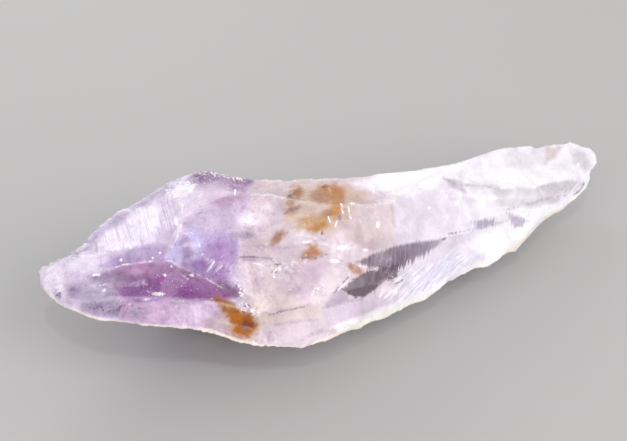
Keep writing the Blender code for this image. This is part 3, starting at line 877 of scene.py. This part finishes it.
def stain_coat(place, front, colour):
    """Iron stains on the skin, with crumbled edges."""
    crumbs = noise(place, 0.5, 4.0).fade(0.34, 0.52, 0.8, 1.0)
    torn = shaken(shaken(front, place, 4.0, 1.3), place, 3.5, 0.45)
    colour = paint_zones(flat(torn), split(front)[2].fade(14, 6) * crumbs, colour, SKIN_ZONES)
    colour = paint_blobs(torn, crumbs, colour, SKIN_BLOBS, SKIN_DEPTH)
    warm = colour.vector("DOT_PRODUCT", (1, 0, -1), output=1).fade(0.12, 0.35)
    grain = noise(shaken(place, place, 0.2, 0.5), 0.45, 4.0, 0.6)
    colour = (warm * grain.fade(0.50, 0.60) * 0.35).mix(colour, colour.vector("MULTIPLY", STAIN_SHADE))
    return (warm * grain.fade(0.48, 0.38) * 0.3).mix(colour, colour.vector("MULTIPLY", STAIN_LIGHT))


def coat_tree(coat, material):
    """A tree that paints one coat over the colour so far."""
    tree, inputs = geometry_tree(coat.__name__, {})
    bare = inputs["Geometry"]
    settings = {"data_type": "FLOAT_COLOR"}
    before = bare.add("GeometryNodeInputNamedAttribute", settings, {"Name": "stone_colour"})
    painted = store(bare, "stone_colour", "FLOAT_COLOR", coat(*read(bare, "stone_place", "stone_front"), before))
    end_tree(tree, painted, material)
    return tree


COATS = [first_coat, lilac_coat, purple_coat, milk_coat, white_coat, veil_coat, stain_coat]
for coat in COATS:
    run_tree(stone, coat_tree(coat, stone_material), {})
print("painted", len(stone.data.vertices), "points in", len(COATS), "coats")

# %% [markdown]
# ## The relief of broken quartz
#
# Quartz has no flat cleavage. It breaks in shallow dishes that meet at sharp ridges, and in silky
# steps. The squared distance to the nearest of scattered points is a field of such dishes, so a
# geometry tree pushes the skin in and out by it, along with the silk and a fine grain. The pattern
# covers the whole stone, so the back and the belly are as broken as the front. Convex edges are
# found by comparing each point with the average of its neighbours: they get small chips of their
# own, and a whiter, cloudier look, partly as bruised quartz has and partly a painted highlight.
#
# Other trees store what they drew on the points: the colour, the place where each point was before
# it moved, and the distances to lines and outlines. A distance stays true between the points, so the
# shader can turn it into a line that is finer than the mesh.

# %% Relief
RELIEF = {"Chip depth": 0.10, "Flake depth": 0.05, "Silk depth": 0.07, "Grain depth": 0.025, "Edge chips": 0.09}
RELIEF_MIDDLE = 0.03
CHIP_SIZE = 3.4
FLAKE_SIZE = 1.3
EDGE_CHIP_SIZE = 0.7
SILK_TURN = -16
SILK_FACET = LILAC_ZONES["silky facet"][0]
HACKLE_TURN = 44
STROKE_TURN = 48
GLINT_DASH_WIDTH = 0.9


def together(*wires):
    """Up to three values as one vector."""
    return wires[0].add("ShaderNodeCombineXYZ", None, dict(enumerate(wires)))


def window_distances(front):
    """How far a point is below the window's upper edge, inside its outline, and inside the wedges."""
    board = flat(front)
    below = inside(board, WINDOW_TOP + [(440, 320), (356, 320)])
    wedges = largest(*(inside(board, corners) for corners in WEDGES))
    return together(below, inside(board, WINDOW), wedges)


def line_distances(front):
    """How far a point is from pale cracks and painted ridge highlights, dark lines, and the rim's painted glow."""
    sheet = front.vector("MULTIPLY", (1, 1, 0))
    pale = smallest(*(path_distance(sheet, line) for line in [RIDGE_HIGHLIGHT_LINE] + PALE_CRACKS_AND_HIGHLIGHTS))
    dark = smallest(*(path_distance(sheet, line) for line in DARK_LINES))
    return together(pale, dark, path_distance(sheet, RIM_GLOW_LINE))


def glint_distance(front):
    """How far a point is from the nearest bright glint, where 1 is the glint's edge."""
    distances = []
    for (x, y), (width, height) in GLINTS:
        offset = front.vector("SUBTRACT", (x, y, 0)).vector("DIVIDE", (width, height, 1))
        distances.append(offset.vector("LENGTH", output=1))
    dashes = smallest(*(path_distance(front, line) for line in GLINT_DASHES))
    return smallest(dashes / GLINT_DASH_WIDTH, *distances)


def texture_masks(front):
    """Where the silk, the feathery hackles and the sparkles are."""
    board = flat(front)
    sparkling = largest(*(pane(board, corners, 6) for corners in SPARKLES))
    return together(pane(board, SILK_FACET, 10), pane(board, HACKLES, 8), sparkling)


def speck_masks(front):
    """Where the dark specks and the slanting bright strokes are."""
    board = flat(front)
    specks = largest(*(pane(board, corners, 6) for corners in SPECKLED))
    return together(specks, largest(*(pane(board, corners, 8) for corners in STROKES)))


def small_marks(front):
    """How far a point is from the faint lines and the glints, and how far inside the small teeth."""
    sheet = front.vector("MULTIPLY", (1, 1, 0))
    faint = smallest(*(path_distance(sheet, line) for line in FAINT_LINES))
    teeth = largest(*(inside(flat(front), corners) for corners in SEEN_THROUGH_TEETH))
    return together(faint, glint_distance(sheet), teeth)


def relief_height(place, front, silky, edge, smooth, inputs):
    flaked = noise(place, 4.0).fade(0.42, 0.62) * (1 - silky)
    lines = silk(front, SILK_TURN, 6, 90) * silky
    chips = dishes(place.vector("DIVIDE", (1.4, 1.0, 1.0)), CHIP_SIZE)
    broken = 1 - smooth * 0.7
    height = chips * broken * inputs["Chip depth"]
    height = height + dishes(place, FLAKE_SIZE) * flaked * broken * inputs["Flake depth"]
    height = height + lines * inputs["Silk depth"]
    height = height + noise(place, 0.6, 3.0) * inputs["Grain depth"]
    along = place.vector("DOT_PRODUCT", COLOUR_AXIS, output=1)
    bruised = edge * along.fade(-8.0, 0.0, 1.0, 0.4)
    height = height + (dishes(place, EDGE_CHIP_SIZE) - 1) * bruised * inputs["Edge chips"]
    return height * along.fade(2.0, 9.0, 1.0, 0.55)


def mark_tree(name, draw, material):
    """A tree that stores one vector of marks on the points."""
    tree, inputs = geometry_tree(name, {})
    front, = read(inputs["Geometry"], "stone_front")
    end_tree(tree, store(inputs["Geometry"], name, "FLOAT_VECTOR", draw(front)), material)
    return tree


def relief_tree(material):
    tree, inputs = geometry_tree("broken quartz", {label: "Float" for label in RELIEF})
    drawn = inputs["Geometry"]
    place, front, masks = read(drawn, "stone_place", "stone_front", "stone_masks")
    number = {"data_type": "FLOAT"}
    edge = drawn.add("GeometryNodeInputNamedAttribute", number, {"Name": "stone_edge"})
    smooth = drawn.add("GeometryNodeInputNamedAttribute", number, {"Name": "stone_smooth"})
    height = relief_height(place, front, split(masks)[0], edge, smooth, inputs)
    normal = drawn.add("GeometryNodeInputNormal")
    push = normal.add("ShaderNodeVectorMath", {"operation": "SCALE"}, {0: normal, 3: (height - RELIEF_MIDDLE) * MM})
    moved = drawn.add("GeometryNodeSetPosition", None, {"Geometry": drawn, "Offset": push})
    after = moved.add("GeometryNodeInputPosition").vector("MAXIMUM", (-1, -1, 0))
    rested = moved.add("GeometryNodeSetPosition", None, {"Geometry": moved, "Position": after})
    end_tree(tree, rested, material)
    return tree


MARKS = {
    "stone_window": window_distances,
    "stone_lines": line_distances,
    "stone_small": small_marks,
    "stone_masks": texture_masks,
    "stone_specks": speck_masks,
}
for name, draw in MARKS.items():
    run_tree(stone, mark_tree(name, draw, stone_material), {})
triangles = run_tree(stone, relief_tree(stone_material), RELIEF)
print("stone:", triangles, "triangles")


# %% [markdown]
# ## The stone's finish
#
# Quartz like this is partly clear and partly clouded by tiny cracks. One surface can't be both, so
# two are mixed: a clear one, which lets light through, and a milky one, which scatters it below the
# skin. A mask of clouds decides how much of each shows. Both take their colour from what the points
# carry. The finest things are drawn here: teeth, silk, specks, sparkles and thin lines.

# %% Finish
ABSORPTION_COLOUR = (0.80, 0.64, 0.88, 1)
ABSORPTION_DENSITY = 20.0
QUARTZ_IOR = 1.544
MOTTLE_SHADE = (0.78, 0.73, 0.82)
MOTTLE_LIGHT = (1.07, 1.08, 1.06)


def stored(start, name, output=1):
    """What the points carry under a name: output 0 as a colour, 1 as a vector, 2 as a number."""
    return start.add("ShaderNodeAttribute", {"attribute_name": name}, None, output)


def window_masks(front, distances, teeth):
    """The toothed window, the wedges below it, and the small teeth on its right, where painted shade stands for the
    dark seen through.
    """
    below, within, wedges = split(distances)
    comb = silk(front, 6, 1.6, 40, 3.0) - 0.5
    rough = (noise(front, 2.5, 4.0) - 0.5) * 7
    reach = below.fade(2, 12, 6, 20)
    window = smallest(below + comb * 6, within + comb * reach).fade(-2.2, 2.0)
    wedges = (wedges + comb * 6 + rough).fade(-1.6, 1.4)
    return window, wedges, (teeth + comb * 12 + rough * 0.5).fade(-3.0, 2.0)


def skin_marks(front, skin, lines, small, colour):
    """Pale cracks and painted ridge highlights, dark and faint lines, bright glints, and a thin painted warm glow
    along the foot's rim.
    """
    pale, dark, rim = split(lines)
    faint, glints, _ = split(small)
    broken = noise(front, 3.5, 4.0, 0.6)
    patchy = noise(front, 11.0, 5.0, 0.7)
    wander = (noise(front, 6.0, 3.0) - 0.5) * 3
    # Painted warm glow along the lower rim.
    colour = (rim.fade(2.8, 0.6) * 0.75).mix(colour, RIM_GLOW_CREAM)
    colour = ((faint + wander).fade(2.6, 0.4) * broken.fade(0.34, 0.60) * skin * 0.45).mix(colour, SLATE_LILAC)
    colour = ((dark + wander * 0.5).fade(1.6, 0.3) * broken.fade(0.38, 0.52) * skin * 0.85).mix(colour, LINE_BROWN)
    # Pale lines: painted highlights along ridges and edges, and white cracks.
    colour = (pale.fade(1.4, 0.2) * patchy.fade(0.42, 0.58) * skin * 0.9).mix(colour, BRIGHT)
    ragged = glints + (noise(front, 1.8, 3.0, 0.6) - 0.5) * 2.2
    return (ragged.fade(1.2, 0.7) * skin * 0.95).mix(colour, BRIGHT)


def mottled(place, silky, colour):
    """Clouds of shade and light in all sizes down to fine specks. The purple end has the most of them."""
    left = place.vector("DOT_PRODUCT", COLOUR_AXIS, output=1).fade(-9.0, -4.0, 1.0, 0.3)
    left = left * (1 - silky * 0.6)
    clouds = noise(shaken(place, place, 0.5, 1.0), 0.8, 6.0, 0.7)
    tiny_specks = noise(place, 0.2, 2.0, 0.6)
    colour = (clouds.fade(0.50, 0.34) * left * 0.9).mix(colour, colour.vector("MULTIPLY", MOTTLE_SHADE))
    colour = (tiny_specks.fade(0.48, 0.34) * left * 0.6).mix(colour, colour.vector("MULTIPLY", MOTTLE_SHADE))
    return (clouds.fade(0.50, 0.66) * left).mix(colour, colour.vector("MULTIPLY", MOTTLE_LIGHT))


def fine_texture(place, front, masks, stroked, colour):
    """Silky and feathery lines, slanting strokes and tiny sparkles."""
    silky, feathered, sparkling = split(masks)
    bent = shaken(front, place, 7.0, 3.0)
    lines = silk(bent, SILK_TURN, 2.4, 50, 3.0)
    crowded = noise(place, 2.0, 2.0).fade(0.40, 0.60, 0.25, 1.0)
    colour = (lines.fade(0.52, 0.66) * silky * crowded * 0.75).mix(colour, SHADED_LILAC)
    hackles = silk(shaken(front, place, 6.0, 2.0), HACKLE_TURN, 1.8, 16, 4.0)
    colour = (hackles.fade(0.50, 0.36) * feathered * 0.6).mix(colour, STREAK_GREY)
    feathers = hackles.fade(0.52, 0.60) * feathered
    strokes = silk(bent, STROKE_TURN, 1.5, 12, 3.0).fade(0.56, 0.62) * stroked
    # The glints and the tiny specks below are painted sparkles of light.
    glints = noise(place, 0.24, 2.0, 0.6).fade(0.53, 0.59) * sparkling
    tiny_specks = noise(place, 0.17, 1.0).fade(0.70, 0.74) * noise(place, 2.2, 2.0).fade(0.50, 0.60) * 0.9
    return largest(feathers * 0.5, strokes * 0.3, glints, tiny_specks).mix(colour, BRIGHT)


def skin_height(place, front, edge, masks):
    """Relief that is too fine for the mesh: silk, hackles, sparkling pits, ripples all over."""
    silky, feathered, sparkling = split(masks)
    lines = silk(front, SILK_TURN, 2.2, 60, 3.0) * silky
    feathers = silk(front, HACKLE_TURN, 1.8, 30, 3.0) * feathered
    pits = noise(place, 0.25, 2.0) * (sparkling + edge * 0.5)
    ripples = noise(shaken(place, place, 0.3, 1.2), 0.45, 4.0, 0.6)
    ribs = silk(place, 22, 0.5, 5.0, 2.0)
    return (lines + feathers) * 0.06 + pits * 0.12 + ripples * 0.04 + ribs * 0.03


def cloudiness(place, edge, silky, window):
    """1 where the stone is milky and 0 where it is clear."""
    clouds = noise(shaken(place, place, 0.8, 3.0), 1.8, 5.0, 0.65).fade(0.36, 0.62, 0.84, 0.97)
    return largest(clouds * (1 - window * 0.3), edge * 0.96, silky * 0.97)


def amethyst_finish(material):
    material.use_nodes = True
    tree = material.node_tree
    tree.nodes.clear()
    start = Wire(tree)
    place = stored(start, "stone_place")
    front = stored(start, "stone_front")
    edge = stored(start, "stone_edge", 2)
    masks = stored(start, "stone_masks")
    skin = split(front)[2].fade(14, 6)
    small = stored(start, "stone_small")
    # The window, the wedges and the teeth get painted shade: grey that stands in for the dark seen through clear
    # quartz.
    window, wedges, teeth = window_masks(front, stored(start, "stone_window"), split(small)[2])
    shade = silk(front, 6, 1.3, 30, 4.0)
    grey = shade.fade(0.40, 0.62).mix(WINDOW_DARK_SEEN_THROUGH, WINDOW_LIGHTER_SEEN_THROUGH)
    colour = mottled(place, split(masks)[0], stored(start, "stone_colour", 0))
    grey = (split(front)[0].fade(396, 440) * 0.7).mix(grey, STREAK_GREY)
    grey = (noise(front, 9.0, 3.0).fade(0.45, 0.65) * 0.5).mix(grey, WINDOW_LIGHTER_SEEN_THROUGH)
    colour = (window * skin * 0.9).mix(colour, grey)
    colour = (wedges * skin * 0.88).mix(colour, shade.fade(0.35, 0.65).mix(WEDGE_DARK_SEEN_THROUGH, WINDOW_DARK_SEEN_THROUGH))
    colour = (teeth * skin * 0.9).mix(colour, grey)
    speckled, stroked, _ = split(stored(start, "stone_specks"))
    specks = noise(place, 0.26, 2.0, 0.6).fade(0.56, 0.62) * speckled
    colour = (specks * 0.75).mix(colour, DARK_SPECK)
    colour = fine_texture(place, front, masks, stroked, colour)
    colour = skin_marks(front, skin, stored(start, "stone_lines"), small, colour)
    # Convex edges are whitened: partly the white of bruised quartz, partly a painted highlight along them.
    colour = (edge * 0.25).mix(colour, BRIGHT)
    roughness = noise(place, 1.4, 3.0).fade(0.35, 0.65, 0.10, 0.28)
    height = skin_height(place, front, edge, masks)
    bump = start.add("ShaderNodeBump", None, {"Height": height, "Distance": MM})
    shared = {"Base Color": colour, "Roughness": roughness, "Normal": bump, "IOR": QUARTZ_IOR}
    clear = start.add("ShaderNodeBsdfPrincipled", None, {**shared, "Transmission Weight": 1.0})
    milky = start.add("ShaderNodeBsdfPrincipled", None, {
        **shared,
        "Subsurface Weight": 0.6,
        "Subsurface Radius": (1.0, 1.0, 1.0),
        "Subsurface Scale": 0.6 * MM,
    })
    share = cloudiness(place, edge, split(masks)[0], largest(window, wedges) * skin)
    both = start.add("ShaderNodeMixShader", None, {0: share, 1: clear, 2: milky})
    depths = {"Color": ABSORPTION_COLOUR, "Density": ABSORPTION_DENSITY}
    absorb = start.add("ShaderNodeVolumeAbsorption", None, depths)
    start.add("ShaderNodeOutputMaterial", None, {"Surface": both, "Volume": absorb})


amethyst_finish(stone_material)
stone.data.shade_smooth()
print("the finish has", len(stone_material.node_tree.nodes), "nodes")

# %% [markdown]
# ## Floor and light
#
# A pale floor and big soft lamps, as in a small studio. One lamp stands behind the stone, so that
# its thin edges glow. The background gives even light from all round.

# %% Studio
FLOOR_SIZE = 2.0
FLOOR_COLOUR = (0.45, 0.445, 0.44, 1)
LAMPS = {
    "key": ((0.12, -0.24, 0.20), 0.30, 0.62),
    "fill": ((-0.24, -0.14, 0.16), 0.24, 0.14),
    "rim": ((0.02, 0.24, 0.12), 0.16, 0.18),
    "spark": ((-0.06, -0.14, 0.30), 0.02, 0.10),
}


def floor_finish():
    material = bpy.data.materials.new("floor")
    material.use_nodes = True
    surface = material.node_tree.nodes["Principled BSDF"]
    surface.inputs["Base Color"].default_value = FLOOR_COLOUR
    surface.inputs["Roughness"].default_value = 0.6
    return material


def add_floor():
    corners = [(-1, -1, 0), (1, -1, 0), (1, 1, 0), (-1, 1, 0)]
    mesh = bpy.data.meshes.new("floor")
    mesh.from_pydata([Vector(c) * FLOOR_SIZE / 2 for c in corners], [], [(0, 1, 2, 3)])
    mesh.materials.append(floor_finish())
    floor = bpy.data.objects.new("floor", mesh)
    bpy.context.scene.collection.objects.link(floor)


def add_lamp(name, place, size, power):
    data = bpy.data.lights.new(name, "AREA")
    data.shape = "DISK"
    data.size = size
    data.energy = power
    lamp = bpy.data.objects.new(name, data)
    bpy.context.scene.collection.objects.link(lamp)
    lamp.location = place
    aim(lamp, CAMERA_TARGET)


def light_background(strength):
    world = bpy.data.worlds.new("studio")
    bpy.context.scene.world = world
    world.use_nodes = True
    background = world.node_tree.nodes["Background"]
    background.inputs["Color"].default_value = (1.0, 0.99, 1.0, 1)
    background.inputs["Strength"].default_value = strength


add_floor()
for name, (place, size, power) in LAMPS.items():
    add_lamp(name, place, size, power)
light_background(0.66)
bpy.context.scene.view_settings.view_transform = "Standard"
print("lamps:", ", ".join(LAMPS))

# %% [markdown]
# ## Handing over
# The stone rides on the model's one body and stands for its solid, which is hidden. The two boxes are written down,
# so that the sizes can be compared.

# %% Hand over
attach(stone, "root")
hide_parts("amethyst_crystal")
